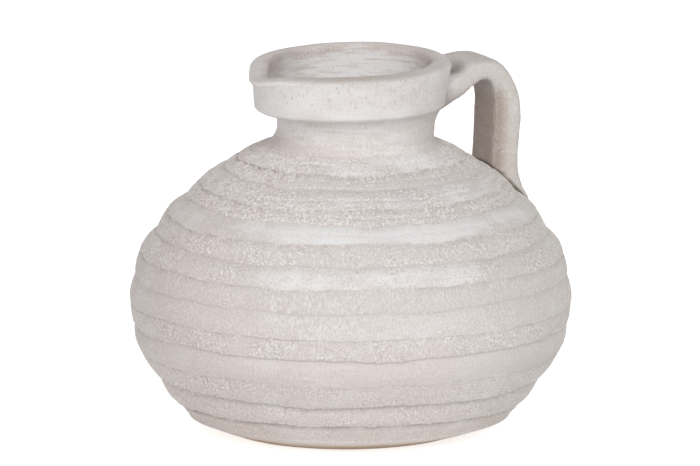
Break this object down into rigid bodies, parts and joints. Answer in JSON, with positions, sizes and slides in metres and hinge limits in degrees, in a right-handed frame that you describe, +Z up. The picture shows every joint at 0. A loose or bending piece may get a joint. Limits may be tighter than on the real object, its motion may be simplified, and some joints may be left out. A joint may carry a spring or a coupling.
{
  "type": "ceramic jug vase",
  "caption": "Squat coil-built ceramic jug vase with a ridged body, a short neck, a heavy collar with a pulled pouring lip and a strap handle; holds water and cut stems.",
  "frame": {"origin": "middle of the flat foot, on the table", "axes": "+Z up along the vase's axis, +X towards the handle, so the pouring lip points to -X"},
  "size_m": [0.28, 0.28, 0.2361],
  "materials": {
    "slip_coated_clay": "matte sandy white slip over red-brown clay",
    "raw_clay": "matte unglazed clay"
  },
  "bodies": {
    "root": {"base_slab": "raw_clay", "wall_coil_1": "slip_coated_clay", "wall_coil_2": "slip_coated_clay", "wall_coil_3": "slip_coated_clay", "wall_coil_4": "slip_coated_clay", "wall_coil_5": "slip_coated_clay", "wall_coil_6": "slip_coated_clay", "wall_coil_7": "slip_coated_clay", "neck_ring": "slip_coated_clay", "rim_collar": "slip_coated_clay", "upper_handle_wad": "slip_coated_clay", "handle_strap": "slip_coated_clay", "lower_handle_wad": "slip_coated_clay"}
  },
  "joints": []
}
